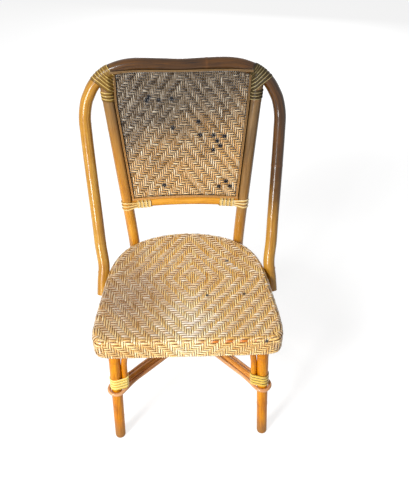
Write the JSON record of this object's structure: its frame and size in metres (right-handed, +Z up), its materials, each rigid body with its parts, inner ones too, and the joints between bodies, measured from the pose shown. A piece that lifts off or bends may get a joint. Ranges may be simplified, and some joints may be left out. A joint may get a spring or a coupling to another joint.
{
  "type": "rattan bistro chair",
  "caption": "Rattan side chair with a bent-pole hoop back, a woven back panel, a woven dished seat with an apron, and crossed braces bound with cane.",
  "frame": {"origin": "on the floor, in the middle of the chair's bounding box", "axes": "+X to the right as seen from the front, +Y to the rear, +Z up"},
  "size_m": [0.4772, 0.4672, 0.8887],
  "materials": {
    "rattan": "varnished honey rattan",
    "rattan_core": "varnished rattan, darker",
    "woven_cane": "woven straw cane",
    "binding_cane": "flat cane, pale, satin",
    "nail": "dull steel"
  },
  "bodies": {
    "root": {"back_hoop": "rattan", "left_back_post": "rattan", "right_back_post": "rattan", "left_front_leg": "rattan", "right_front_leg": "rattan", "bottom_rail": "rattan", "seat_ring": "rattan_core", "apron_ring": "rattan_core", "seat_weave": "woven_cane", "back_weave": "woven_cane", "front_top_bead": "rattan_core", "front_bottom_bead": "rattan_core", "front_left_bead": "rattan_core", "front_right_bead": "rattan_core", "rear_top_bead": "rattan_core", "rear_bottom_bead": "rattan_core", "rear_left_bead": "rattan_core", "rear_right_bead": "rattan_core", "front_arch": "rattan", "left_cross_brace": "rattan", "right_cross_brace": "rattan", "left_brace_loop": "rattan", "right_brace_loop": "rattan", "left_corner_binding": "binding_cane", "right_corner_binding": "binding_cane", "left_post_binding": "binding_cane", "right_post_binding": "binding_cane", "left_rail_strap": "binding_cane", "right_rail_strap": "binding_cane", "left_rail_lashing": "binding_cane", "right_rail_lashing": "binding_cane", "left_front_leg_binding": "binding_cane", "right_front_leg_binding": "binding_cane", "left_rear_leg_binding": "binding_cane", "right_rear_leg_binding": "binding_cane", "crossing_binding": "binding_cane", "left_hoop_nail": "nail", "right_hoop_nail": "nail", "left_post_nail": "nail", "right_post_nail": "nail", "left_leg_nail": "nail", "right_leg_nail": "nail"}
  },
  "joints": []
}
